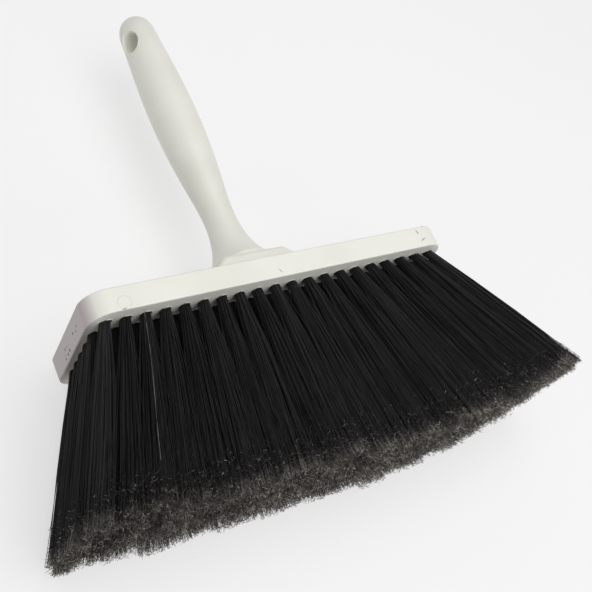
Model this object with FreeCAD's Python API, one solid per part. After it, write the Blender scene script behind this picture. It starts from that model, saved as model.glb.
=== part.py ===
import FreeCAD, Part
import math
import os

# A wide hand brush, in millimetres. It lies on one long side of its block:
# +X runs along the block, +Y along the handle, away from the bristles, and +Z is up.
# The origin is the middle of the block side that the brush lies on.

# Block
block_length = 254.0
block_depth = 97.0
block_thickness = 15.0
block_corner_radius = 15.0
block_edge_radius = 1.0

# Raised boss on the block's back, which the handle stands on
boss_height = 17.5
boss_end_ledge = 1.2
boss_side_ledge = 3.5
boss_shoulder_run = 20.0
boss_edge_radius = 2.8

# Handle
handle_length = 228.0
handle_foot_radius = 20.5
handle_foot_lip = 3.0
handle_neck_radius = 10.9
handle_neck_height = 53.0
handle_grip_radius = 16.4
handle_grip_height = 148.0
handle_tip_radius = 13.3
handle_tip_drop = 19.0
hang_hole_radius = 7.0
hang_hole_dish_radius = 3.5
hang_hole_drop = 23.5
hang_hole_turn = 65.0

# Spigot under the handle's foot, in its socket in the boss
spigot_wall = 1.9
socket_floor = 3.0
socket_clearance = 0.1

# Two screws from the bristle side into the spigot, each in the gap between four tufts
screw_radius = 2.0
screw_bite = 14.0
screw_head_radius = 3.8
screw_head_height = 2.4
screw_recess_width = 1.2
screw_recess_depth = 1.4
screw_point_length = 3.0
screw_hole_clearance = 0.25
counterbore_depth = 3.0
counterbore_clearance = 0.3

# Tufts, in columns along X and rows along Z
tuft_columns = 20
tuft_rows = 7
tuft_end_margin = 8.8
tuft_side_margin = 11.9
outer_row_inset = 3.6
tuft_hole_radius = 3.0
tuft_hole_floor = 4.0
tuft_hole_clearance = 0.05
tuft_trim = 115.0
tuft_tip_radius = 5.0
tuft_spread = 58.0
tuft_sides = 24

# Flat wire anchors that hold the folded tufts at the bottom of their holes
anchor_bite = 0.8
anchor_height = 2.0
anchor_thickness = 0.8
anchor_fold_gap = 0.9

# Sizes and places that follow from the values above
middle_z = block_depth / 2
bristle_face_y = -block_thickness / 2
back_face_y = block_thickness / 2
boss_top_y = back_face_y + boss_height
boss_top_length = 2 * (handle_foot_radius + boss_end_ledge)
boss_base_length = boss_top_length + 2 * boss_shoulder_run
boss_depth = 2 * (handle_foot_radius + boss_side_ledge)
handle_tip_y = back_face_y + handle_length
hang_hole_y = handle_tip_y - hang_hole_drop
tuft_column_reach = block_length / 2 - tuft_end_margin
tuft_row_reach = block_depth / 2 - tuft_side_margin
tuft_row_pitch = 2 * tuft_row_reach / (tuft_rows - 1)
tuft_floor_y = back_face_y - tuft_hole_floor
row_lean = tuft_side_margin - tuft_tip_radius
anchor_width = 2 * (tuft_hole_radius + anchor_bite)
screw_offset = tuft_row_pitch / 2
spigot_radius = screw_offset + screw_radius + spigot_wall
spigot_length = boss_height - socket_floor
socket_floor_y = boss_top_y - spigot_length
screw_seat_y = bristle_face_y + counterbore_depth
screw_length = socket_floor_y - screw_seat_y + screw_bite

along_y = FreeCAD.Vector(0, 1, 0)


def spread_evenly(count, reach):
    return [reach * (2 * step / (count - 1) - 1) for step in range(count)]


def tuft_places(column):
    """One column's hole centres on the bristle face, as (x, z) pairs, from bottom to top."""
    places = []
    for row, drop in enumerate(spread_evenly(tuft_rows, tuft_row_reach)):
        outer = row in (0, tuft_rows - 1)
        reach = tuft_column_reach - (outer_row_inset if outer else 0)
        places.append((spread_evenly(tuft_columns, reach)[column], middle_z + drop))
    return places


def screw_places():
    return [(0, middle_z + side * screw_offset) for side in (-1, 1)]


def hole_cutter(x, z, radius, start_y, end_y):
    return Part.makeCylinder(radius, end_y - start_y, FreeCAD.Vector(x, start_y, z), along_y)


def anchor_box(x, z):
    top_y = tuft_floor_y - anchor_fold_gap
    corner = FreeCAD.Vector(x - anchor_width / 2, top_y - anchor_height, z - anchor_thickness / 2)
    return Part.makeBox(anchor_width, anchor_height, anchor_thickness, corner)


def edges_along(shape, direction):
    found = []
    for edge in shape.Edges:
        start, end = edge.Vertexes[0].Point, edge.Vertexes[-1].Point
        run = end - start
        if run.Length > 0 and abs(run.normalize() * direction) > 0.999:
            found.append(edge)
    return found


def make_plate():
    corner = FreeCAD.Vector(-block_length / 2, bristle_face_y, 0)
    plate = Part.makeBox(block_length, block_thickness, block_depth, corner)
    plate = plate.makeFillet(block_corner_radius, edges_along(plate, along_y))
    rims = [edge for edge in plate.Edges
            if abs(edge.BoundBox.YMin - edge.BoundBox.YMax) < 0.001]
    return plate.makeFillet(block_edge_radius, rims)


def make_boss():
    # It starts inside the plate, so that the two fuse into one moulding
    root_y = back_face_y - block_edge_radius
    low_z = middle_z - boss_depth / 2
    outline = [
        (-boss_base_length / 2, root_y),
        (boss_base_length / 2, root_y),
        (boss_base_length / 2, back_face_y),
        (boss_top_length / 2, boss_top_y),
        (-boss_top_length / 2, boss_top_y),
        (-boss_base_length / 2, back_face_y),
    ]
    corners = [FreeCAD.Vector(x, y, low_z) for x, y in outline]
    face = Part.Face(Part.makePolygon(corners + corners[:1]))
    boss = face.extrude(FreeCAD.Vector(0, 0, boss_depth))
    exposed = [edge for edge in boss.Edges if edge.BoundBox.YMax > boss_top_y - 0.001]
    return boss.makeFillet(boss_edge_radius, exposed)


def make_block():
    body = make_plate().fuse(make_boss()).removeSplitter()
    cutters = [hole_cutter(0, middle_z, spigot_radius + socket_clearance, socket_floor_y, boss_top_y + 1)]
    for x, z in screw_places():
        cutters.append(hole_cutter(x, z, screw_radius + screw_hole_clearance, bristle_face_y, socket_floor_y))
        head = screw_head_radius + counterbore_clearance
        cutters.append(hole_cutter(x, z, head, bristle_face_y - 1, screw_seat_y))
    for column in range(tuft_columns):
        for x, z in tuft_places(column):
            cutters.append(hole_cutter(x, z, tuft_hole_radius, bristle_face_y - 1, tuft_floor_y))
            cutters.append(anchor_box(x, z))
    return body.cut(cutters)


def handle_outline():
    """Half of the handle's section, from the spigot's end to the tip, in the plane Z = middle_z."""
    def place(radius, height):
        return FreeCAD.Vector(radius, back_face_y + height, middle_z)

    neck_rise = handle_neck_height - boss_height
    grip_rise = handle_grip_height - handle_neck_height
    grip_gain = handle_grip_radius - handle_neck_radius
    foot_gain = handle_foot_radius - handle_neck_radius
    shoulder_height = handle_length - handle_tip_drop
    side = Part.BSplineCurve()
    side.interpolate([
        place(handle_foot_radius, boss_height + handle_foot_lip),
        place(handle_neck_radius + 0.56 * foot_gain, boss_height + 0.28 * neck_rise),
        place(handle_neck_radius + 0.19 * foot_gain, boss_height + 0.58 * neck_rise),
        place(handle_neck_radius, handle_neck_height),
        place(handle_neck_radius + 0.42 * grip_gain, handle_neck_height + 0.34 * grip_rise),
        place(handle_neck_radius + 0.86 * grip_gain, handle_neck_height + 0.65 * grip_rise),
        place(handle_grip_radius, handle_grip_height),
        place(handle_tip_radius + 0.45 * (handle_grip_radius - handle_tip_radius),
              handle_grip_height + 0.65 * (shoulder_height - handle_grip_height)),
        place(handle_tip_radius, shoulder_height),
        place(0.73 * handle_tip_radius, handle_length - 0.24 * handle_tip_drop),
        place(0.30 * handle_tip_radius, handle_length - 0.03 * handle_tip_drop),
        place(0, handle_length),
    ])
    spigot_end = boss_height - spigot_length
    straight = [
        place(0, handle_length),
        place(0, spigot_end),
        place(spigot_radius, spigot_end),
        place(spigot_radius, boss_height),
        place(handle_foot_radius, boss_height),
        place(handle_foot_radius, boss_height + handle_foot_lip),
    ]
    edges = [Part.makeLine(a, b) for a, b in zip(straight, straight[1:])]
    return Part.Wire(edges + [side.toShape()])


def hang_hole_cutter():
    """A round hole through the tip whose two mouths open in a smooth dish."""
    straight = handle_tip_radius - hang_hole_dish_radius
    mouth = hang_hole_radius + hang_hole_dish_radius
    outside = handle_grip_radius + 5
    bend_out = hang_hole_radius + hang_hole_dish_radius * (1 - math.sqrt(0.5))
    bend_up = straight + hang_hole_dish_radius * math.sqrt(0.5)

    def edges_on(side):
        corner = FreeCAD.Vector(hang_hole_radius, 0, side * straight)
        bend = FreeCAD.Vector(bend_out, 0, side * bend_up)
        rim = FreeCAD.Vector(mouth, 0, side * (straight + hang_hole_dish_radius))
        outer = FreeCAD.Vector(mouth, 0, side * outside)
        middle = FreeCAD.Vector(0, 0, side * outside)
        return [Part.Arc(corner, bend, rim).toShape(), Part.makeLine(rim, outer), Part.makeLine(outer, middle)]

    edges = edges_on(1) + edges_on(-1)
    edges.append(Part.makeLine(FreeCAD.Vector(hang_hole_radius, 0, -straight),
                               FreeCAD.Vector(hang_hole_radius, 0, straight)))
    edges.append(Part.makeLine(FreeCAD.Vector(0, 0, -outside), FreeCAD.Vector(0, 0, outside)))
    outline = Part.Wire(Part.__sortEdges__(edges))
    cutter = Part.Face(outline).revolve(FreeCAD.Vector(), FreeCAD.Vector(0, 0, 1), 360)
    cutter.rotate(FreeCAD.Vector(), along_y, -hang_hole_turn)
    cutter.translate(FreeCAD.Vector(0, hang_hole_y, middle_z))
    return cutter


def make_handle():
    section = Part.Face(handle_outline())
    handle = section.revolve(FreeCAD.Vector(0, 0, middle_z), along_y, 360)
    # The turned shape's seam stays a quarter turn away from both mouths of the hang hole
    handle.rotate(FreeCAD.Vector(0, 0, middle_z), along_y, -hang_hole_turn)
    pilot_end = screw_seat_y + screw_length
    pilots = [hole_cutter(x, z, screw_radius, socket_floor_y - 1, pilot_end) for x, z in screw_places()]
    return handle.cut([hang_hole_cutter()] + pilots)


def make_screw(x, z):
    head = hole_cutter(x, z, screw_head_radius, screw_seat_y - screw_head_height, screw_seat_y)
    outer_rim = [edge for edge in head.Edges if edge.BoundBox.YMax < screw_seat_y - 0.001]
    head = head.makeFillet(screw_head_height * 0.4, outer_rim)
    shank = hole_cutter(x, z, screw_radius, screw_seat_y, screw_seat_y + screw_length - screw_point_length)
    point_y = screw_seat_y + screw_length - screw_point_length
    point = Part.makeCone(screw_radius, screw_radius * 0.2, screw_point_length,
                          FreeCAD.Vector(x, point_y, z), along_y)
    screw = head.fuse([shank, point]).removeSplitter()
    reach = screw_head_radius * 0.62
    recess_y = screw_seat_y - screw_head_height
    for half_x, half_z in ((reach, screw_recess_width / 2), (screw_recess_width / 2, reach)):
        corner = FreeCAD.Vector(x - half_x, recess_y - 1, z - half_z)
        screw = screw.cut(Part.makeBox(2 * half_x, screw_recess_depth + 1, 2 * half_z, corner))
    return screw


def tuft_tip(x, z):
    """Centre of a tuft's trimmed end: every tuft has the same length, and fans out from the middle."""
    lean_x = tuft_spread * x / tuft_column_reach
    lean_z = row_lean * (z - middle_z) / tuft_row_reach
    drop = math.sqrt(tuft_trim ** 2 - lean_x ** 2 - lean_z ** 2)
    return FreeCAD.Vector(x + lean_x, bristle_face_y - drop, z + lean_z)


def ring_corners(centre, radius):
    turns = [2 * math.pi * side / tuft_sides for side in range(tuft_sides)]
    return [centre + FreeCAD.Vector(radius * math.cos(turn), 0, radius * math.sin(turn)) for turn in turns]


def solid_through(rings):
    """A solid with flat sides through rings of corners that are the same shape in parallel planes."""
    outlines = [rings[0], rings[-1]]
    for start, end in zip(rings, rings[1:]):
        for side in range(tuft_sides):
            after = (side + 1) % tuft_sides
            outlines.append([start[side], start[after], end[after], end[side]])
    faces = [Part.Face(Part.makePolygon(outline + outline[:1])) for outline in outlines]
    solid = Part.Solid(Part.Shell(faces))
    if solid.Volume < 0:
        solid.reverse()
    return solid


def make_tuft(x, z):
    shank_radius = tuft_hole_radius - tuft_hole_clearance
    bundle = solid_through([
        ring_corners(FreeCAD.Vector(x, tuft_floor_y, z), shank_radius),
        ring_corners(FreeCAD.Vector(x, bristle_face_y, z), shank_radius),
        ring_corners(tuft_tip(x, z), tuft_tip_radius),
    ])
    return bundle.cut(anchor_box(x, z))


def save(name, shapes):
    solids = [solid for shape in shapes for solid in shape.Solids]
    whole = solids[0] if len(solids) == 1 else Part.makeCompound(solids)
    whole.exportStep(os.path.join("parts", name + ".step"))
    print(name, len(solids), "solids", round(whole.Volume / 1000, 2), "cm3", whole.isValid())


os.makedirs("parts", exist_ok=True)
save("block", [make_block()])
save("handle", [make_handle()])
save("handle_screws", [make_screw(x, z) for x, z in screw_places()])
for column in range(tuft_columns):
    number = "%02d" % (column + 1)
    save("tuft_column_" + number, [make_tuft(x, z) for x, z in tuft_places(column)])
    save("anchor_column_" + number, [anchor_box(x, z) for x, z in tuft_places(column)])
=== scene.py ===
import math
import random

import bpy
from mathutils import Euler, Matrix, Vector


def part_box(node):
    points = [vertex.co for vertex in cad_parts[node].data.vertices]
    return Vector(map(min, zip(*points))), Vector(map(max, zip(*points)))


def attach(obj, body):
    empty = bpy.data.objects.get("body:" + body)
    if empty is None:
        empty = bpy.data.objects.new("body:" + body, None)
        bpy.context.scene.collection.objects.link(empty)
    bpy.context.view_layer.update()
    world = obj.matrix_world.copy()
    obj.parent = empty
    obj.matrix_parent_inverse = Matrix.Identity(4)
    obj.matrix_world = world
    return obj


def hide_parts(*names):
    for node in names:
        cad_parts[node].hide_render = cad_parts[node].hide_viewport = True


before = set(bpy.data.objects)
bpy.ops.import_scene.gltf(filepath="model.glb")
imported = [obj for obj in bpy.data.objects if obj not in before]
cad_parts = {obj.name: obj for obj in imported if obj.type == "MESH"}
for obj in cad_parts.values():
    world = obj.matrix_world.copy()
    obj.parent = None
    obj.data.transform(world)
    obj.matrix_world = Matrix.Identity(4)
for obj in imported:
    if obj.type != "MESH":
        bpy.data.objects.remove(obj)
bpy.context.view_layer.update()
mm = 0.001
rng = random.Random(20)


# Helpers for node trees, materials and objects

def hexToLinear(code):
    # sRGB hex to the linear RGBA that shader sockets take
    channels = [int(code[i:i + 2], 16) / 255 for i in (0, 2, 4)]
    linear = [c / 12.92 if c <= 0.04045 else ((c + 0.055) / 1.055) ** 2.4 for c in channels]
    return (*linear, 1.0)


def addNode(tree, kind, inputs=None, stops=None, **settings):
    # One node with its settings. An input is a value, a socket, or a node whose first output feeds it.
    # A colour ramp's stops are (place, sRGB hex) pairs.
    node = tree.nodes.new(kind)
    for name, value in settings.items():
        setattr(node, name, value)
    for key, value in (inputs or {}).items():
        if isinstance(value, bpy.types.Node):
            value = next(socket for socket in value.outputs if socket.enabled)
        if isinstance(value, bpy.types.NodeSocket):
            tree.links.new(value, node.inputs[key])
        else:
            node.inputs[key].default_value = value
    for number, (place, colour) in enumerate(stops or []):
        elements = node.color_ramp.elements
        element = elements[number] if number < len(elements) else elements.new(place)
        element.position = place
        element.color = hexToLinear(colour)
    return node


def newMaterial(name):
    material = bpy.data.materials.new(name)
    material.use_nodes = True
    material.node_tree.nodes.clear()
    return material, material.node_tree


def newObject(name, data):
    piece = bpy.data.objects.new(name, data)
    bpy.context.scene.collection.objects.link(piece)
    return piece


# Where things are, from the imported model

blockLow, blockHigh = (Vector(corner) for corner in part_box("block"))
middleZ = (blockLow.z + blockHigh.z) / 2
bristleFaceY = blockLow.y
plateBackY = -blockLow.y
bossTopY = blockHigh.y
columnNames = sorted(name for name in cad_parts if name.startswith("tuft_column"))
rowGap = 2 * mm   # corners further apart than this in height belong to different rows


def tuftMouths(columnName):
    # A tuft's anchor lies across its hole, so the anchors give the hole centres
    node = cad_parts[columnName.replace("tuft", "anchor")]
    corners = sorted((node.matrix_world @ v.co for v in node.data.vertices), key=lambda p: p.z)
    rows = [[corners[0]]]
    for corner in corners[1:]:
        if corner.z - rows[-1][-1].z > rowGap:
            rows.append([])
        rows[-1].append(corner)
    return [(sum(p.x for p in row) / len(row), sum(p.z for p in row) / len(row)) for row in rows]


# Camera

cameraLook = {
    "place": (-298.9, -201.3, 542.0),    # mm
    "turn": (30.937, -23.113, -25.603),  # degrees, XYZ
    "lens": 57.59,
    "sensor": 36.0,
    "nearest": 10.0,                     # mm
}


def makeCamera():
    data = bpy.data.cameras.new("camera")
    data.lens = cameraLook["lens"]
    data.sensor_width = cameraLook["sensor"]
    data.clip_start = cameraLook["nearest"] * mm
    camera = newObject("camera", data)
    camera.location = Vector(cameraLook["place"]) * mm
    camera.rotation_euler = Euler([math.radians(a) for a in cameraLook["turn"]], "XYZ")
    bpy.context.scene.camera = camera
    print("camera set")


# Floor and light

studioLook = {
    "floorSize": 6.0,       # m
    "floorDrop": 0.05,      # mm below the brush, so that nothing lies in the same plane
    "floorColour": "979797",
    "floorGlow": 0.59,      # keeps the shadow faint
    "floorRoughness": 0.9,
    "floorShine": 0.1,
    "worldColour": "F4F4F6",
    "worldStrength": 0.40,
    "softboxes": [
        # place in m, size in m, power in W
        ((0.05, -0.1, 1.6), 1.6, 20.0),
        ((0.25, -1.5, 0.7), 1.2, 7.0),
    ],
}


def makeFloor():
    half = studioLook["floorSize"] / 2
    mesh = bpy.data.meshes.new("floor")
    corners = [(-half, -half, 0), (half, -half, 0), (half, half, 0), (-half, half, 0)]
    mesh.from_pydata(corners, [], [(0, 1, 2, 3)])
    floor = newObject("floor", mesh)
    floor.location.z = -studioLook["floorDrop"] * mm
    material, tree = newMaterial("paleFloor")
    shader = addNode(tree, "ShaderNodeBsdfPrincipled", {
        "Base Color": hexToLinear(studioLook["floorColour"]), "Roughness": studioLook["floorRoughness"],
        "Specular IOR Level": studioLook["floorShine"], "Emission Color": (1, 1, 1, 1),
        "Emission Strength": studioLook["floorGlow"]})
    addNode(tree, "ShaderNodeOutputMaterial", {"Surface": shader})
    mesh.materials.append(material)


def makeLights():
    world = bpy.data.worlds.new("studio")
    world.use_nodes = True
    tree = world.node_tree
    tree.nodes.clear()
    background = addNode(tree, "ShaderNodeBackground", {
        "Color": hexToLinear(studioLook["worldColour"]), "Strength": studioLook["worldStrength"]})
    addNode(tree, "ShaderNodeOutputWorld", {"Surface": background})
    bpy.context.scene.world = world
    for place, size, power in studioLook["softboxes"]:
        lamp = bpy.data.lights.new("softbox", "AREA")
        lamp.energy = power
        lamp.size = size
        softbox = newObject("softbox", lamp)
        softbox.location = place
        softbox.rotation_euler = (-Vector(place)).to_track_quat("-Z", "Y").to_euler()
    bpy.context.scene.view_settings.view_transform = "Standard"
    print("floor and lights made")


# Moulded polypropylene: satin off-white with a low waxy sheen

plasticLook = {
    "colour": "E4E4DB",
    "shade": "DBDAD0",
    "roughness": 0.42,
    "ior": 1.49,
    "mottle": 60.0,        # mm, patches of slightly different tint
    "grain": 0.8,          # mm, the mould's spark texture, drawn coarser so that it shows
    "grainHeight": 0.02,   # mm
    "grainStrength": 0.3,
    "creaseShadeColour": "77706A",
    "creaseShadeWidth": 0.55,     # mm, painted shade in the joint under the handle and round the boss
    "creaseShadeLift": 0.02,      # mm above the face below, which gets no painted shade
    "creaseShadeShare": 0.75,
}

# Wear, dirt and painted shade on the block, in mm
blockWearAndShade = {
    "scuffColour": "9B978C",
    "scuffShare": 0.8,
    "softFrom": 0.6,              # where a scuff or a speck starts to fade, as a share of its reach
    "scuffs": [
        # centre, reach each way, turn in degrees
        ((-4.6, -3.5, 97.0), (2.0, 0.3, 1.0), -60),
        ((106.9, 3.7, 97.0), (2.0, 0.6, 1.0), 100),
        ((109.0, -2.4, 97.0), (2.6, 0.5, 1.0), 21),
        ((113.3, 7.3, 96.6), (1.3, 0.8, 0.8), 0),
        ((-107.0, -6.9, 96.9), (1.8, 0.5, 0.8), 10),
    ],
    "dirtColour": "4A4440",
    "dirtSpecks": 11,
    "dirtAlong": (28.0, 78.0),    # up the left end
    "dirtAcross": (-5.0, 0.5),
    "dirtSize": (0.4, 1.5),
    "dirtReach": (0.7, 1.3),      # specks are longer up the end than across it
    "gateCentre": (-105.8, -3.4, 97.0),
    "gateRadius": 4.0,
    "gateWidth": 0.5,
    "gateDepth": 0.6,             # as a share of the scuffs' depth
    # Painted shade on the left end, which faces away from the light
    "endShadeColour": "A6979A",
    "endShadeShare": 0.8,
    "endShadeReach": (6.0, 0.5),     # from the left end, where the painted shade starts and where it is full
    "depth": 0.35,
    "strength": 0.8,
}


def ellipseMask(tree, place, centre, size, turn):
    # 1 inside a soft ellipse, 0 outside
    turned = addNode(tree, "ShaderNodeMapping", {
        "Vector": place, "Location": tuple(Vector(centre) * mm), "Rotation": (0, 0, math.radians(turn)),
        "Scale": tuple(s * mm for s in size)}, vector_type="TEXTURE")
    far = addNode(tree, "ShaderNodeVectorMath", {0: turned}, operation="LENGTH")
    return addNode(tree, "ShaderNodeMapRange", {
        "Value": far, "From Min": blockWearAndShade["softFrom"], "From Max": 1.0, "To Min": 1.0, "To Max": 0.0})


def addCreaseShade(tree, place, colour, seamY):
    # Painted shade in the corner just above a joint, where the parts shade each other
    up = addNode(tree, "ShaderNodeSeparateXYZ", {0: place}).outputs["Y"]
    past = addNode(tree, "ShaderNodeMath", {
        0: up, 1: seamY + plasticLook["creaseShadeLift"] * mm}, operation="GREATER_THAN")
    fading = addNode(tree, "ShaderNodeMapRange", {
        "Value": up, "From Min": seamY, "From Max": seamY + plasticLook["creaseShadeWidth"] * mm,
        "To Min": plasticLook["creaseShadeShare"], "To Max": 0.0})
    share = addNode(tree, "ShaderNodeMath", {0: past, 1: fading}, operation="MULTIPLY")
    # this dark colour is painted shade, not dirt
    dirt = hexToLinear(plasticLook["creaseShadeColour"])
    return addNode(tree, "ShaderNodeMix", {0: share, 6: colour, 7: dirt}, data_type="RGBA")


def addEndShadeAndDirt(tree, place, colour):
    # The left end gets painted shade, a grey-pink darkening of the face turned from the light, and carries a
    # few specks of dirt
    fromEnd = addNode(tree, "ShaderNodeSeparateXYZ", {0: place}).outputs["X"]
    start, full = blockWearAndShade["endShadeReach"]
    atEnd = addNode(tree, "ShaderNodeMapRange", {
        "Value": fromEnd, "From Min": blockLow.x + start * mm, "From Max": blockLow.x + full * mm,
        "To Max": blockWearAndShade["endShadeShare"]})
    endShade, dirt = hexToLinear(blockWearAndShade["endShadeColour"]), hexToLinear(blockWearAndShade["dirtColour"])
    colour = addNode(tree, "ShaderNodeMix", {0: atEnd, 6: colour, 7: endShade}, data_type="RGBA")
    thin, tall = blockWearAndShade["dirtReach"]
    for _ in range(blockWearAndShade["dirtSpecks"]):
        across, along = rng.uniform(*blockWearAndShade["dirtAcross"]), rng.uniform(*blockWearAndShade["dirtAlong"])
        centre = (blockLow.x / mm, across, along)
        radius = rng.uniform(*blockWearAndShade["dirtSize"])
        mask = ellipseMask(tree, place, centre, (1.0, radius * thin, radius * tall), 0)
        colour = addNode(tree, "ShaderNodeMix", {0: mask, 6: colour, 7: dirt}, data_type="RGBA")
    return colour


def addScuffs(tree, place, colour):
    # Returns the scuffed colour and the height of the scuffs and the gate mark
    height = 0.0
    scuffed = hexToLinear(blockWearAndShade["scuffColour"])
    for centre, size, turn in blockWearAndShade["scuffs"]:
        mask = ellipseMask(tree, place, centre, size, turn)
        share = addNode(tree, "ShaderNodeMath", {0: mask, 1: blockWearAndShade["scuffShare"]}, operation="MULTIPLY")
        colour = addNode(tree, "ShaderNodeMix", {0: share, 6: colour, 7: scuffed}, data_type="RGBA")
        height = addNode(tree, "ShaderNodeMath", {0: height, 1: mask}, operation="SUBTRACT")
    centre = tuple(Vector(blockWearAndShade["gateCentre"]) * mm)
    far = addNode(tree, "ShaderNodeVectorMath", {0: place, 1: centre}, operation="DISTANCE")
    past = addNode(tree, "ShaderNodeMath", {0: far, 1: blockWearAndShade["gateRadius"] * mm}, operation="SUBTRACT")
    off = addNode(tree, "ShaderNodeMath", {0: past}, operation="ABSOLUTE")
    ring = addNode(tree, "ShaderNodeMapRange", {
        "Value": off, "From Max": blockWearAndShade["gateWidth"] * mm, "To Min": 1.0, "To Max": 0.0})
    raised = addNode(tree, "ShaderNodeMath", {0: ring, 1: blockWearAndShade["gateDepth"]}, operation="MULTIPLY")
    return colour, addNode(tree, "ShaderNodeMath", {0: height, 1: raised}, operation="ADD")


def mouldedPolypropylene(name, seamY=None, worn=False):
    material, tree = newMaterial(name)
    place = addNode(tree, "ShaderNodeTexCoord").outputs["Object"]
    patches = addNode(tree, "ShaderNodeTexNoise", {
        "Vector": place, "Scale": 1000 / plasticLook["mottle"], "Detail": 3.0})
    colour = addNode(tree, "ShaderNodeValToRGB", {"Fac": patches},
                     stops=[(0.35, plasticLook["colour"]), (0.7, plasticLook["shade"])])
    grain = addNode(tree, "ShaderNodeTexNoise", {
        "Vector": place, "Scale": 1000 / plasticLook["grain"], "Detail": 2.0})
    bump = addNode(tree, "ShaderNodeBump", {
        "Height": grain, "Strength": plasticLook["grainStrength"],
        "Distance": plasticLook["grainHeight"] * mm})
    # Painted shade in the corner just above the joint at seamY
    if seamY is not None:
        colour = addCreaseShade(tree, place, colour, seamY)
    # worn adds painted shade on the left end as well as dirt specks, scuffs and the gate ring
    if worn:
        colour = addEndShadeAndDirt(tree, place, colour)
        colour, height = addScuffs(tree, place, colour)
        bump = addNode(tree, "ShaderNodeBump", {
            "Height": height, "Strength": blockWearAndShade["strength"], "Distance": blockWearAndShade["depth"] * mm,
            "Normal": bump})
    shader = addNode(tree, "ShaderNodeBsdfPrincipled", {
        "Base Color": colour, "Roughness": plasticLook["roughness"], "IOR": plasticLook["ior"],
        "Normal": bump})
    addNode(tree, "ShaderNodeOutputMaterial", {"Surface": shader})
    return material


# Zinc-plated steel of the screws and the tuft anchors, which the block hides: a dull, patchy shine

steelLook = {
    "colour": "B9BABD",
    "dull": "8D8F93",
    "roughness": (0.32, 0.48),
    "spangle": 1.5,      # mm, size of the zinc's patches
    "cloud": 2.5,        # mm
}


def zincPlatedSteel():
    material, tree = newMaterial("zincPlatedSteel")
    place = addNode(tree, "ShaderNodeTexCoord").outputs["Object"]
    spangle = addNode(tree, "ShaderNodeTexVoronoi", {"Vector": place, "Scale": 1000 / steelLook["spangle"]})
    cloud = addNode(tree, "ShaderNodeTexNoise", {
        "Vector": place, "Scale": 1000 / steelLook["cloud"], "Detail": 3.0})
    colour = addNode(tree, "ShaderNodeValToRGB", {"Fac": cloud},
                     stops=[(0.35, steelLook["colour"]), (0.7, steelLook["dull"])])
    smooth, rough = steelLook["roughness"]
    patchy = addNode(tree, "ShaderNodeMapRange", {"Value": spangle, "To Min": smooth, "To Max": rough})
    shader = addNode(tree, "ShaderNodeBsdfPrincipled", {
        "Base Color": colour, "Metallic": 1.0, "Roughness": patchy})
    addNode(tree, "ShaderNodeOutputMaterial", {"Surface": shader})
    return material


# Bristles: black extruded filament, split and frayed at the tips

bristleLook = {
    "filaments": 98,        # in each tuft
    "edgeFilaments": 175,   # in the outermost columns, which nothing stands behind
    "mouthRadius": 2.8,     # mm
    "rootDepth": 4.0,       # mm inside the hole
    "trim": 117.5,          # mm, free length
    "trimRight": 10.0,      # mm, how much longer the outermost tufts on the right are
    "trimSpread": 3.5,      # mm, from tuft to tuft
    "filamentRadius": 0.26,
    "edgeFilamentRadius": 0.36,
    "tipRadius": 8.4,       # mm, how far a tuft opens
    "spread": (1.25, 1.0, 0.9),       # tufts open wider along the block than across it
    "edgeSpread": (0.88, 1.0, 0.92),  # the outermost stay close, so the fan's sides are solid
    "wander": 2.0,          # mm, how far a tuft's tip strays from its place
    "edgeWander": 0.5,
    "wanderUp": 0.75,       # share of that in height
    "strayShare": 0.40,     # how far filaments leave their place in the tuft
    "edgeStray": 0.18,
    "leanLeft": 48.8,       # mm, sideways lean of the outermost columns' tips
    "leanRight": 77.6,
    "leanUp": 4.0,          # mm, the same of the top and bottom rows
    "bow": 1.8,             # mm, how far a filament bows
    "shortest": 0.986,      # shortest filament, as a share of the longest
    "frayFrom": 0.71,       # share of the length where the split ends begin
    "wisps": 5,             # split strands of each filament
    "wispLength": 1.3,      # mm
    "wispReach": 2.4,       # mm, how far a strand leaves its filament
    "wispRadius": 0.17,     # mm, drawn thicker than a split strand so that it shows
    "lowest": 0.35,         # mm above the floor
    "furthest": 201.0,      # mm, outermost place of a tip on the right
    "stations": 6,
    "wispStations": 4,
    "sides": 3,
    "endPaleTop": 0.66,        # the upper rows' ends are less pale than the lowest rows'
    "endPaleRight": 0.16,      # and the right end's paler than the left's
    "endPaleMiddle": 0.97,
    "black": "131215",
    # painted sheen: the lightest body colour stands in for highlights along the strands
    "paintedSheen": "262426",
    "frayDark": "171617",
    "frayMid": "6C6760",
    "frayPale": "E2DDD2",
    "clump": 7.0,           # mm, patches of paler and darker ends
    "clumpShare": (0.55, 1.25),
    "roughness": 0.6,
    "ior": 1.5,
    "shine": 0.3,
    # How a filament and its strands run, as shares and powers of the way down
    "goldenTurn": 2.39996,  # radians from one filament's place to the next
    "leanPower": 1.04,
    "openPower": 0.8,       # below 1, so a tuft opens soon after the hole
    "crowding": 1.7,        # stations crowd toward the tip
    "taper": 0.55,
    "paleFrom": 0.8,
    "paleShare": 0.8,
    "bareEnd": 0.02,        # how far strands outreach their filament
    "strandEnd": 0.006,     # how far before its filament's end the last strand starts
    "strandPower": 0.34,    # below 1, so most strands start near the end
    "smallest": 0.35,
    "rare": 4.5,            # where the fray begins few strands are pale
    "common": 0.85,         # at the ends most are
    "commonFrom": 0.97,
    "leavePower": 1.2,
    "wave": 5.6,            # radians of wave along a strand
    "waveShare": 0.72,
    "strandTaper": 0.5,
    "seedStep": 101,        # from one column to the next, so that no two are alike
    # What is added to a column's seed for each thing that is random
    "seeds": {"stray": 0, "tone": 5, "bow": 11, "reach": 17, "aim": 23, "curl": 37, "start": 41, "size": 43,
              "pale": 47},
}

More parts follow.
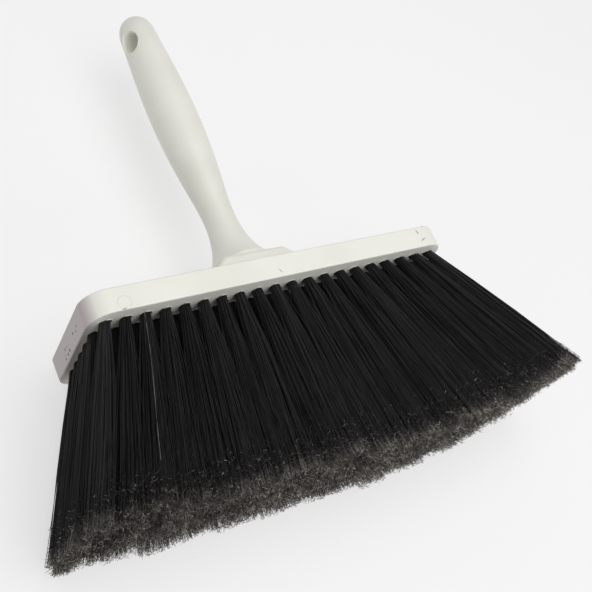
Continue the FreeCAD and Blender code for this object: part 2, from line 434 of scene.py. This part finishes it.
# Values kept on each point, by kind
pointValues = {
    "lean": "FLOAT_VECTOR", "spread": "FLOAT_VECTOR", "root": "FLOAT_VECTOR", "run": "FLOAT_VECTOR",
    "widen": "FLOAT_VECTOR", "bow": "FLOAT_VECTOR", "aim": "FLOAT_VECTOR", "curl": "FLOAT_VECTOR",
    "shade": "FLOAT", "worn": "FLOAT", "reach": "FLOAT", "start": "FLOAT", "size": "FLOAT",
    "tone": "FLOAT", "fray": "FLOAT",
}


def flaggedPolyester():
    # Black polyester monofilament: each filament is lightened at random toward a painted sheen that stands
    # in for highlights along the strands, pale where the ends are split
    material, tree = newMaterial("flaggedPolyester")
    fray = addNode(tree, "ShaderNodeAttribute", attribute_name="fray").outputs["Fac"]
    tone = addNode(tree, "ShaderNodeAttribute", attribute_name="tone").outputs["Fac"]
    place = addNode(tree, "ShaderNodeTexCoord").outputs["Object"]
    clumps = addNode(tree, "ShaderNodeTexNoise", {
        "Vector": place, "Scale": 1000 / bristleLook["clump"], "Detail": 2.0})
    least, most = bristleLook["clumpShare"]
    share = addNode(tree, "ShaderNodeMapRange", {
        "Value": clumps, "From Min": 0.35, "From Max": 0.65, "To Min": least, "To Max": most})
    patchy = addNode(tree, "ShaderNodeMath", {0: tone, 1: share}, operation="MULTIPLY")
    # Random tone per filament and tuft, whose lighter end is a painted sheen
    body = addNode(tree, "ShaderNodeValToRGB", {"Fac": tone},
                   stops=[(0.0, bristleLook["black"]), (1.0, bristleLook["paintedSheen"])])
    ends = addNode(tree, "ShaderNodeValToRGB", {"Fac": patchy}, stops=[
        (0.0, bristleLook["frayDark"]), (0.45, bristleLook["frayMid"]), (1.0, bristleLook["frayPale"])])
    colour = addNode(tree, "ShaderNodeMix", {0: fray, 6: body, 7: ends}, data_type="RGBA")
    shader = addNode(tree, "ShaderNodeBsdfPrincipled", {
        "Base Color": colour, "Roughness": bristleLook["roughness"], "IOR": bristleLook["ior"],
        "Specular IOR Level": bristleLook["shine"]})
    addNode(tree, "ShaderNodeOutputMaterial", {"Surface": shader})
    return material


def newTree(name, counts, sizes):
    # A geometry tree with its named inputs, and the sockets that give them
    tree = bpy.data.node_groups.new(name, "GeometryNodeTree")
    sockets = [("Geometry", "NodeSocketGeometry")]
    sockets += [(label, "NodeSocketInt") for label in counts]
    sockets += [(label, "NodeSocketFloat") for label in sizes]
    sockets += [("Material", "NodeSocketMaterial")]
    for label, kind in sockets:
        tree.interface.new_socket(name=label, in_out="INPUT", socket_type=kind)
    tree.interface.new_socket(name="Geometry", in_out="OUTPUT", socket_type="NodeSocketGeometry")
    return tree, addNode(tree, "NodeGroupInput").outputs


def finishTree(tree, geometry, material):
    smooth = addNode(tree, "GeometryNodeSetShadeSmooth", {"Geometry": geometry})
    real = addNode(tree, "GeometryNodeRealizeInstances", {"Geometry": smooth})
    coloured = addNode(tree, "GeometryNodeSetMaterial", {"Geometry": real, "Material": material})
    addNode(tree, "NodeGroupOutput", {0: coloured})


def filamentPath(tree, read, t):
    # Leans over evenly and opens soon after the hole, with a slight bow; t runs from the root to the tip
    late = addNode(tree, "ShaderNodeMath", {0: t, 1: bristleLook["leanPower"]}, operation="POWER")
    lean = addNode(tree, "ShaderNodeCombineXYZ", {"X": late, "Y": t, "Z": t})
    opened = addNode(tree, "ShaderNodeMath", {0: t, 1: bristleLook["openPower"]}, operation="POWER")
    halfTurn = addNode(tree, "ShaderNodeMath", {0: t, 1: math.pi}, operation="MULTIPLY")
    hump = addNode(tree, "ShaderNodeMath", {0: halfTurn}, operation="SINE")
    shifts = [
        addNode(tree, "ShaderNodeVectorMath", {0: read["run"], 1: lean}, operation="MULTIPLY"),
        addNode(tree, "ShaderNodeVectorMath", {0: read["widen"], "Scale": opened}, operation="SCALE"),
        addNode(tree, "ShaderNodeVectorMath", {0: read["bow"], "Scale": hump}, operation="SCALE"),
    ]
    where = read["root"]
    for shift in shifts:
        where = addNode(tree, "ShaderNodeVectorMath", {0: where, 1: shift}, operation="ADD")
    return where


def sweepStrands(tree, points, stations, where, radius, paleness):
    # One thin tube for each point, kept off the floor and inside the fan's right end
    line = addNode(tree, "GeometryNodeCurvePrimitiveLine")
    fine = addNode(tree, "GeometryNodeResampleCurve", {"Curve": line, "Count": stations})
    placed = addNode(tree, "GeometryNodeInstanceOnPoints", {"Points": points, "Instance": fine})
    real = addNode(tree, "GeometryNodeRealizeInstances", {"Geometry": placed})
    shaded = addNode(tree, "GeometryNodeStoreNamedAttribute", {
        "Geometry": real, "Name": "fray", "Value": paleness}, data_type=pointValues["fray"], domain="POINT")
    floor = (-1, -1, bristleLook["lowest"] * mm)
    wall = (bristleLook["furthest"] * mm, 1, 1)
    above = addNode(tree, "ShaderNodeVectorMath", {0: where, 1: floor}, operation="MAXIMUM")
    within = addNode(tree, "ShaderNodeVectorMath", {0: above, 1: wall}, operation="MINIMUM")
    moved = addNode(tree, "GeometryNodeSetPosition", {"Geometry": shaded, "Position": within})
    thick = addNode(tree, "GeometryNodeSetCurveRadius", {"Curve": moved, "Radius": radius})
    ring = addNode(tree, "GeometryNodeCurvePrimitiveCircle", {
        "Resolution": bristleLook["sides"], "Radius": 1.0})
    return addNode(tree, "GeometryNodeCurveToMesh", {
        "Curve": thick, "Profile Curve": ring, "Scale": radius})


def filamentPoints(tree, given, read, seeds):
    # One point for each filament, in a sunflower pattern over the hole's mouth
    many = addNode(tree, "GeometryNodeDuplicateElements", {
        "Geometry": given["Geometry"], "Amount": given["Filaments"]}, domain="POINT")
    copy = many.outputs["Duplicate Index"]
    ident = addNode(tree, "GeometryNodeInputIndex")
    middle = addNode(tree, "ShaderNodeMath", {0: copy, 1: 0.5}, operation="ADD")
    share = addNode(tree, "ShaderNodeMath", {0: middle, 1: given["Filaments"]}, operation="DIVIDE")
    out = addNode(tree, "ShaderNodeMath", {0: share}, operation="SQRT")
    turn = addNode(tree, "ShaderNodeMath", {0: copy, 1: bristleLook["goldenTurn"]}, operation="MULTIPLY")
    across = addNode(tree, "ShaderNodeMath", {0: turn}, operation="COSINE")
    up = addNode(tree, "ShaderNodeMath", {0: turn}, operation="SINE")
    disc = addNode(tree, "ShaderNodeCombineXYZ", {
        "X": addNode(tree, "ShaderNodeMath", {0: out, 1: across}, operation="MULTIPLY"),
        "Z": addNode(tree, "ShaderNodeMath", {0: out, 1: up}, operation="MULTIPLY")})
    mouth = addNode(tree, "GeometryNodeInputPosition")
    inward = addNode(tree, "ShaderNodeCombineXYZ", {"Y": given["Root Depth"]})
    rootOut = addNode(tree, "ShaderNodeVectorMath", {
        0: disc, "Scale": given["Mouth Radius"]}, operation="SCALE")
    atMouth = addNode(tree, "ShaderNodeVectorMath", {0: mouth, 1: rootOut}, operation="ADD")
    root = addNode(tree, "ShaderNodeVectorMath", {0: atMouth, 1: inward}, operation="ADD")
    run = addNode(tree, "ShaderNodeVectorMath", {0: read["lean"], 1: inward}, operation="SUBTRACT")

    stray = addNode(tree, "FunctionNodeRandomValue", {
        0: (-1, -0.15, -1), 1: (1, 0.15, 1), "ID": ident, "Seed": seeds["stray"]}, data_type="FLOAT_VECTOR")
    strayed = addNode(tree, "ShaderNodeVectorMath", {
        0: stray, "Scale": given["Stray Share"]}, operation="SCALE")
    loose = addNode(tree, "ShaderNodeVectorMath", {0: disc, 1: strayed}, operation="ADD")
    tipOut = addNode(tree, "ShaderNodeVectorMath", {
        0: loose, "Scale": given["Tip Radius"]}, operation="SCALE")
    flared = addNode(tree, "ShaderNodeVectorMath", {0: tipOut, 1: read["spread"]}, operation="MULTIPLY")
    widen = addNode(tree, "ShaderNodeVectorMath", {0: flared, 1: rootOut}, operation="SUBTRACT")

    sway = addNode(tree, "FunctionNodeRandomValue", {
        0: (-1, 0, -1), 1: (1, 0, 1), "ID": ident, "Seed": seeds["bow"]}, data_type="FLOAT_VECTOR")
    bow = addNode(tree, "ShaderNodeVectorMath", {0: sway, "Scale": given["Bow"]}, operation="SCALE")
    dice = addNode(tree, "FunctionNodeRandomValue", {
        2: 0.0, 3: 1.0, "ID": ident, "Seed": seeds["reach"]}, data_type="FLOAT")
    mostlyLong = addNode(tree, "ShaderNodeMath", {0: dice}, operation="SQRT")
    reach = addNode(tree, "ShaderNodeMapRange", {
        "Value": mostlyLong, "To Min": given["Shortest"], "To Max": 1.0})
    own = addNode(tree, "FunctionNodeRandomValue", {
        2: 0.0, 3: 1.0, "ID": ident, "Seed": seeds["tone"]}, data_type="FLOAT")
    both = addNode(tree, "ShaderNodeMath", {0: own, 1: read["shade"]}, operation="ADD")
    tone = addNode(tree, "ShaderNodeMath", {0: both, 1: 0.5}, operation="MULTIPLY")
    values = {"root": root, "run": run, "widen": widen, "bow": bow, "reach": reach, "tone": tone}
    points = many
    for label, value in values.items():
        points = addNode(tree, "GeometryNodeStoreNamedAttribute", {
            "Geometry": points, "Name": label, "Value": value}, data_type=pointValues[label], domain="POINT")
    return points


def wispPoints(tree, points, given, read, seeds):
    # The ends are split: fine strands leave each filament from the fray line down, and curl
    more = addNode(tree, "GeometryNodeDuplicateElements", {
        "Geometry": points, "Amount": given["Wisps"]}, domain="POINT")
    ident = addNode(tree, "GeometryNodeInputIndex")
    aim = addNode(tree, "FunctionNodeRandomValue", {
        0: (-1, -0.3, -1), 1: (1, 1, 1), "ID": ident, "Seed": seeds["aim"]}, data_type="FLOAT_VECTOR")
    curl = addNode(tree, "FunctionNodeRandomValue", {
        0: (-1, -1, -1), 1: (1, 1, 1), "ID": ident, "Seed": seeds["curl"]}, data_type="FLOAT_VECTOR")
    dice = addNode(tree, "FunctionNodeRandomValue", {
        2: 0.0, 3: 1.0, "ID": ident, "Seed": seeds["start"]}, data_type="FLOAT")
    late = addNode(tree, "ShaderNodeMath", {0: dice, 1: bristleLook["strandPower"]}, operation="POWER")
    latest = addNode(tree, "ShaderNodeMath", {
        0: read["reach"], 1: bristleLook["strandEnd"]}, operation="SUBTRACT")
    start = addNode(tree, "ShaderNodeMapRange", {
        "Value": late, "To Min": given["Fray From"], "To Max": latest})
    size = addNode(tree, "FunctionNodeRandomValue", {
        2: bristleLook["smallest"], 3: 1.0, "ID": ident, "Seed": seeds["size"]}, data_type="FLOAT")
    rarity = addNode(tree, "ShaderNodeMapRange", {
        "Value": start, "From Min": given["Fray From"], "From Max": bristleLook["commonFrom"],
        "To Min": bristleLook["rare"], "To Max": bristleLook["common"]})
    chance = addNode(tree, "FunctionNodeRandomValue", {
        2: 0.0, 3: 1.0, "ID": ident, "Seed": seeds["pale"]}, data_type="FLOAT")
    pale = addNode(tree, "ShaderNodeMath", {0: chance, 1: rarity}, operation="POWER")
    tone = addNode(tree, "ShaderNodeMath", {0: pale, 1: read["worn"]}, operation="MULTIPLY")
    values = {"aim": aim, "curl": curl, "start": start, "size": size, "tone": tone}
    points = more
    for label, value in values.items():
        points = addNode(tree, "GeometryNodeStoreNamedAttribute", {
            "Geometry": points, "Name": label, "Value": value}, data_type=pointValues[label], domain="POINT")
    return points


def wispPath(tree, given, read, factor):
    # Along its filament for a little, and away from it in a curl
    sized = addNode(tree, "ShaderNodeMath", {0: factor, 1: read["size"]}, operation="MULTIPLY")
    run = addNode(tree, "ShaderNodeMath", {0: sized, 1: given["Wisp Share"]}, operation="MULTIPLY")
    past = addNode(tree, "ShaderNodeMath", {0: read["start"], 1: run}, operation="ADD")
    t = addNode(tree, "ShaderNodeMath", {0: past, 1: 1.0}, operation="MINIMUM")
    leaving = addNode(tree, "ShaderNodeMath", {0: factor, 1: bristleLook["leavePower"]}, operation="POWER")
    opening = addNode(tree, "ShaderNodeMath", {0: leaving, 1: read["size"]}, operation="MULTIPLY")
    aside = addNode(tree, "ShaderNodeVectorMath", {0: read["aim"], "Scale": opening}, operation="SCALE")
    phase = addNode(tree, "ShaderNodeMath", {0: factor, 1: bristleLook["wave"]}, operation="MULTIPLY")
    wave = addNode(tree, "ShaderNodeMath", {0: phase}, operation="SINE")
    swing = addNode(tree, "ShaderNodeMath", {0: wave, 1: read["size"]}, operation="MULTIPLY")
    small = addNode(tree, "ShaderNodeMath", {0: swing, 1: bristleLook["waveShare"]}, operation="MULTIPLY")
    wavy = addNode(tree, "ShaderNodeVectorMath", {0: read["curl"], "Scale": small}, operation="SCALE")
    away = addNode(tree, "ShaderNodeVectorMath", {0: aside, 1: wavy}, operation="ADD")
    leave = addNode(tree, "ShaderNodeVectorMath", {0: away, "Scale": given["Wisp Reach"]}, operation="SCALE")
    along = filamentPath(tree, read, t)
    return addNode(tree, "ShaderNodeVectorMath", {0: along, 1: leave}, operation="ADD")


def tuftTree():
    tree, given = newTree("flaredTufts", ("Filaments", "Wisps", "Seed"), (
        "Mouth Radius", "Root Depth", "Tip Radius", "Stray Share", "Filament Radius", "Bow", "Shortest",
        "Fray From", "Wisp Share", "Wisp Reach", "Wisp Radius"))
    read = {label: addNode(tree, "GeometryNodeInputNamedAttribute", {"Name": label}, data_type=kind)
            for label, kind in pointValues.items()}

    seeds = {label: addNode(tree, "ShaderNodeMath", {0: given["Seed"], 1: more}, operation="ADD")
             for label, more in bristleLook["seeds"].items()}
    factor = addNode(tree, "GeometryNodeSplineParameter").outputs["Factor"]
    points = filamentPoints(tree, given, read, seeds)
    lost = addNode(tree, "ShaderNodeMath", {0: factor, 1: bristleLook["taper"]}, operation="MULTIPLY")
    taper = addNode(tree, "ShaderNodeMath", {0: 1.0, 1: lost}, operation="SUBTRACT")
    radius = addNode(tree, "ShaderNodeMath", {0: given["Filament Radius"], 1: taper}, operation="MULTIPLY")
    left = addNode(tree, "ShaderNodeMath", {0: 1.0, 1: factor}, operation="SUBTRACT")
    crowded = addNode(tree, "ShaderNodeMath", {0: left, 1: bristleLook["crowding"]}, operation="POWER")
    down = addNode(tree, "ShaderNodeMath", {0: 1.0, 1: crowded}, operation="SUBTRACT")
    bare = addNode(tree, "ShaderNodeMath", {
        0: read["reach"], 1: bristleLook["bareEnd"]}, operation="SUBTRACT")
    t = addNode(tree, "ShaderNodeMath", {0: down, 1: bare}, operation="MULTIPLY")
    palest = addNode(tree, "ShaderNodeMath", {
        0: read["worn"], 1: bristleLook["paleShare"]}, operation="MULTIPLY")
    paling = addNode(tree, "ShaderNodeMapRange", {
        "Value": factor, "From Min": bristleLook["paleFrom"], "To Max": palest})
    path = filamentPath(tree, read, t)
    whole = sweepStrands(tree, points, bristleLook["stations"], path, radius, paling)

    split = wispPoints(tree, points, given, read, seeds)
    lost = addNode(tree, "ShaderNodeMath", {0: factor, 1: bristleLook["strandTaper"]}, operation="MULTIPLY")
    taper = addNode(tree, "ShaderNodeMath", {0: 1.0, 1: lost}, operation="SUBTRACT")
    radius = addNode(tree, "ShaderNodeMath", {0: given["Wisp Radius"], 1: taper}, operation="MULTIPLY")
    path = wispPath(tree, given, read, factor)
    wisps = sweepStrands(tree, split, bristleLook["wispStations"], path, radius, 1.0)

    joined = addNode(tree, "GeometryNodeJoinGeometry", {0: wisps})
    tree.links.new(whole.outputs[0], joined.inputs[0])
    finishTree(tree, joined, given["Material"])
    return tree


def bakeGeometry(seedMesh, name, tree, values):
    # Runs the tree on the seed mesh and keeps the result as a plain mesh
    maker = newObject(name + "Maker", seedMesh)
    modifier = maker.modifiers.new("build", "NODES")
    modifier.node_group = tree
    for item in tree.interface.items_tree:
        if item.in_out == "INPUT" and item.name in values:
            modifier[item.identifier] = values[item.name]
    graph = bpy.context.evaluated_depsgraph_get()
    mesh = bpy.data.meshes.new_from_object(maker.evaluated_get(graph))
    bpy.data.objects.remove(maker)
    mesh.name = name
    return newObject(name, mesh)


def setPointValues(mesh, name, values):
    layer = mesh.attributes.new(name, pointValues[name], "POINT")
    if pointValues[name] == "FLOAT_VECTOR":
        layer.data.foreach_set("vector", [number for value in values for number in value])
    else:
        layer.data.foreach_set("value", values)


def tuftLean(x, z, rowReach, outermost):
    # Where a tuft's tip stands from its hole: the fan leans with x, the rows part a little in height
    side = bristleLook["leanLeft" if x < 0 else "leanRight"]
    wander = bristleLook["edgeWander" if outermost else "wander"]
    leanX = (side * x / blockHigh.x + rng.uniform(-wander, wander)) * mm
    lift = bristleLook["leanUp"] * (z - middleZ) / rowReach
    leanZ = (lift + bristleLook["wanderUp"] * rng.uniform(-wander, wander)) * mm
    trim = (bristleLook["trim"] + rng.uniform(-0.5, 0.5) * bristleLook["trimSpread"]) * mm
    trim += math.sqrt(max(0, x / blockHigh.x)) * bristleLook["trimRight"] * mm
    return (leanX, -math.sqrt(trim ** 2 - leanX ** 2 - leanZ ** 2), leanZ)


def makeBristles(material):
    tree = tuftTree()
    rowReach = max(abs(z - middleZ) for _, z in tuftMouths(columnNames[0]))
    total = 0
    for number, columnName in enumerate(columnNames, 1):
        places = tuftMouths(columnName)
        mesh = bpy.data.meshes.new("mouths")
        mesh.from_pydata([(x, bristleFaceY, z) for x, z in places], [], [])
        outermost = number in (1, len(columnNames))
        leans, shades, paleEnds = [], [], []
        for x, z in places:
            leans.append(tuftLean(x, z, rowReach, outermost))
            shades.append(rng.random())
            # worn here is how pale a tuft's ends are, set by its height and its place along the block
            height = (z - blockLow.z) / (blockHigh.z - blockLow.z)
            along = bristleLook["endPaleMiddle"] + bristleLook["endPaleRight"] * x / blockHigh.x
            paleEnds.append((1.0 - (1.0 - bristleLook["endPaleTop"]) * height) * along)
        setPointValues(mesh, "lean", leans)
        setPointValues(mesh, "spread", [bristleLook["edgeSpread" if outermost else "spread"]] * len(places))
        setPointValues(mesh, "shade", shades)
        setPointValues(mesh, "worn", paleEnds)
        piece = bakeGeometry(mesh, "bristles_%02d" % number, tree, {
            "Filaments": bristleLook["edgeFilaments" if outermost else "filaments"],
            "Wisps": bristleLook["wisps"],
            "Mouth Radius": bristleLook["mouthRadius"] * mm,
            "Root Depth": bristleLook["rootDepth"] * mm,
            "Tip Radius": bristleLook["tipRadius"] * mm,
            "Stray Share": bristleLook["edgeStray" if outermost else "strayShare"],
            "Filament Radius": bristleLook["edgeFilamentRadius" if outermost else "filamentRadius"] * mm,
            "Bow": bristleLook["bow"] * mm,
            "Shortest": bristleLook["shortest"],
            "Fray From": bristleLook["frayFrom"],
            "Wisp Share": bristleLook["wispLength"] / bristleLook["trim"],
            "Wisp Reach": bristleLook["wispReach"] * mm,
            "Wisp Radius": bristleLook["wispRadius"] * mm,
            "Seed": number * bristleLook["seedStep"],
            "Material": material,
        })
        total += sum(len(p.vertices) - 2 for p in piece.data.polygons)
        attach(piece, "root")
        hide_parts(columnName)
    print("bristles made,", total, "triangles")


# One faded filament lies over the others

paleFilament = {
    "from": (-95.0, -8.0, 93.0),   # mm
    "to": (-118.5, -93.0, 97.5),
    "radius": 0.15,
    "sag": 0.6,
    "wave": 5.0,                   # radians of sideways wave along it
    "points": 12,
    "colour": "6E6B67",
    "mottle": 20 / 3,              # mm
    "roughness": 0.5,
}


def fadedPolyester():
    # The same monofilament with its black worn off in places
    material, tree = newMaterial("fadedPolyester")
    place = addNode(tree, "ShaderNodeTexCoord").outputs["Object"]
    noise = addNode(tree, "ShaderNodeTexNoise", {"Vector": place, "Scale": 1000 / paleFilament["mottle"]})
    # its darker parts take the bristles' painted sheen colour
    colour = addNode(tree, "ShaderNodeValToRGB", {"Fac": noise},
                     stops=[(0.35, bristleLook["paintedSheen"]), (0.6, paleFilament["colour"])])
    shader = addNode(tree, "ShaderNodeBsdfPrincipled", {
        "Base Color": colour, "Roughness": paleFilament["roughness"]})
    addNode(tree, "ShaderNodeOutputMaterial", {"Surface": shader})
    return material


def makePaleFilament():
    data = bpy.data.curves.new("paleFilament", "CURVE")
    data.dimensions = "3D"
    data.bevel_depth = paleFilament["radius"] * mm
    data.bevel_resolution = 1
    line = data.splines.new("POLY")
    last = paleFilament["points"] - 1
    line.points.add(last)
    start, end = Vector(paleFilament["from"]), Vector(paleFilament["to"])
    for index, point in enumerate(line.points):
        share = index / last
        off = Vector((math.sin(share * paleFilament["wave"]), 0, math.sin(share * math.pi)))
        point.co = (*((start.lerp(end, share) + off * paleFilament["sag"]) * mm), 1)
    maker = newObject("paleFilamentMaker", data)
    mesh = bpy.data.meshes.new_from_object(maker.evaluated_get(bpy.context.evaluated_depsgraph_get()))
    bpy.data.objects.remove(maker)
    mesh.materials.clear()
    mesh.materials.append(fadedPolyester())
    for face in mesh.polygons:
        face.use_smooth = True
    piece = newObject("pale_filament", mesh)
    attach(piece, "root")
    print("pale filament made")


# Raised burr round each drilled hole

rimLook = {"radius": 3.15, "thickness": 0.22, "steps": 20, "sides": 6}   # mm


def rimTree():
    tree, given = newTree("holeRims", ("Steps", "Sides"), ("Rim Radius", "Thickness"))
    path = addNode(tree, "GeometryNodeCurvePrimitiveCircle", {
        "Resolution": given["Steps"], "Radius": given["Rim Radius"]})
    section = addNode(tree, "GeometryNodeCurvePrimitiveCircle", {
        "Resolution": given["Sides"], "Radius": given["Thickness"]})
    ring = addNode(tree, "GeometryNodeCurveToMesh", {"Curve": path, "Profile Curve": section})
    placed = addNode(tree, "GeometryNodeInstanceOnPoints", {
        "Points": given["Geometry"], "Instance": ring, "Rotation": (math.pi / 2, 0, 0)})
    finishTree(tree, placed, given["Material"])
    return tree


def makeHoleRims(material):
    mesh = bpy.data.meshes.new("rimPlaces")
    mesh.from_pydata([(x, bristleFaceY, z) for name in columnNames for x, z in tuftMouths(name)], [], [])
    rims = bakeGeometry(mesh, "hole_rims", rimTree(), {
        "Steps": rimLook["steps"], "Sides": rimLook["sides"], "Rim Radius": rimLook["radius"] * mm,
        "Thickness": rimLook["thickness"] * mm, "Material": material})
    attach(rims, "root")
    print("hole rims made")


# The CAD pieces that show as they are take their materials here

def colourNodes(material, names):
    for name in names:
        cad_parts[name].material_slots[0].material = material
    print(material.name, "on", len(names), "pieces")


steelNames = [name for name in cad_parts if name.startswith(("handle_screws", "anchor_column"))]

makeCamera()
makeFloor()
makeLights()
colourNodes(mouldedPolypropylene("handlePolypropylene", bossTopY), ["handle"])
# The block also gets painted shade on its left end and above the plate's back
colourNodes(mouldedPolypropylene("blockPolypropylene", plateBackY, worn=True), ["block"])
colourNodes(zincPlatedSteel(), steelNames)
makeHoleRims(mouldedPolypropylene("mouldedPolypropylene"))
makeBristles(flaggedPolyester())
makePaleFilament()
